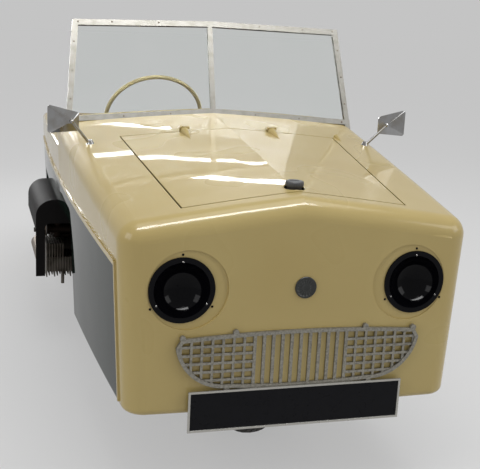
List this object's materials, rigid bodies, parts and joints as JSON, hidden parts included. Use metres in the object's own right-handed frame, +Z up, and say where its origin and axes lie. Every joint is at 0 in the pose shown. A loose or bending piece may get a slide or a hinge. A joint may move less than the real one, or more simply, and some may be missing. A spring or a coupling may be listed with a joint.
{
  "type": "light open three wheeled car",
  "caption": "Small open two seat car with one steered front wheel, two rear wheels, a flat split windscreen and an engine hung outside the body on its right side.",
  "frame": {"origin": "on the floor, under the middle of the car's length and width", "axes": "+X to the car's left, +Y to its rear, +Z up"},
  "size_m": [1.222, 3, 1.2869],
  "materials": {
    "cream_paint": "glossy, slightly uneven hand finish",
    "dark_paint": "very glossy dark green",
    "black_paint": "satin black, a little dusty",
    "trim_metal": "satin, dulled",
    "bright_chrome": "polished",
    "engine_alloy": "oily cast surface",
    "engine_iron": "black, rough",
    "steel": "plain",
    "tyre_rubber": "worn black",
    "screen_glass": "clear flat glass",
    "maroon_leather": "maroon leathercloth",
    "ivory_plastic": "ivory, yellowed",
    "black_plastic": "glossy black",
    "red_lens": "red lens",
    "floor_rubber": "black mat"
  },
  "bodies": {
    "car_body": {"nose_panel": "cream_paint", "panel_hinges": "trim_metal", "bonnet_surround": "cream_paint", "left_side_panel": "dark_paint", "right_side_panel": "dark_paint", "side_mouldings": "cream_paint", "left_body_side": "cream_paint", "right_body_side": "cream_paint", "tail_panel": "cream_paint", "rear_wheel_arches": "black_paint", "firewall": "black_paint", "steering_column": "black_paint", "floor_pan": "floor_rubber", "chassis_frame": "black_paint", "trailing_arms": "black_paint", "headlamp_bowls": "black_plastic", "nose_badge": "black_plastic", "grille": "trim_metal", "front_plate": "black_plastic", "fuel_tank": "black_paint", "filler_cap": "black_plastic", "windscreen_frame": "trim_metal", "windscreen_glass": "screen_glass", "mirrors": "bright_chrome", "dashboard": "cream_paint", "seat_cushion": "maroon_leather", "seat_back": "maroon_leather", "seat_frame": "black_paint", "engine_bay_panel": "black_paint", "engine_crankcase": "engine_alloy", "engine_cylinder": "engine_iron", "engine_cowl": "black_paint", "exhaust": "steel", "drive_chain": "steel", "tail_lamps": "red_lens"},
    "fork": {"front_fork": "black_paint"},
    "front_wheel_body": {"front_wheel": "cream_paint", "front_tyre": "tyre_rubber"},
    "left_rear_wheel_body": {"left_rear_wheel": "cream_paint", "left_rear_tyre": "tyre_rubber"},
    "right_rear_wheel_body": {"right_rear_wheel": "cream_paint", "right_rear_tyre": "tyre_rubber"},
    "steering_wheel_body": {"steering_wheel": "ivory_plastic"},
    "door": {"left_door": "cream_paint"},
    "bonnet": {"bonnet_lid": "cream_paint"}
  },
  "joints": [
    {"name": "fork_steer", "type": "hinge", "parent": "car_body", "child": "fork", "pos_m": [0, -0.96087, 0.19968], "axis": [0, 0.2079, 0.9781], "range_deg": [-35, 35]},
    {"name": "front_wheel_spin", "type": "hinge", "parent": "fork", "child": "front_wheel_body", "pos_m": [0, -1, 0.208], "axis": [1, 0, 0], "continuous": true},
    {"name": "left_rear_wheel_spin", "type": "hinge", "parent": "car_body", "child": "left_rear_wheel_body", "pos_m": [0.4, 1, 0.208], "axis": [1, 0, 0], "continuous": true},
    {"name": "right_rear_wheel_spin", "type": "hinge", "parent": "car_body", "child": "right_rear_wheel_body", "pos_m": [-0.4, 1, 0.208], "axis": [1, 0, 0], "continuous": true},
    {"name": "steering_wheel_turn", "type": "hinge", "parent": "car_body", "child": "steering_wheel_body", "pos_m": [-0.165, -0.18, 0.913], "axis": [0, 0.8829, 0.4695], "range_deg": [-105, 105]},
    {"name": "door_swing", "type": "hinge", "parent": "car_body", "child": "door", "pos_m": [0.55224, -0.3425, 0.6], "axis": [0, 0, -1], "range_deg": [0, 70]},
    {"name": "bonnet_swing", "type": "hinge", "parent": "car_body", "child": "bonnet", "pos_m": [0, -0.69, 0.94705], "axis": [-1, 0, 0], "range_deg": [0, 60]}
  ],
  "couplings": [
    {"joint": "steering_wheel_turn", "follows": "fork_steer", "ratio": 3}
  ]
}
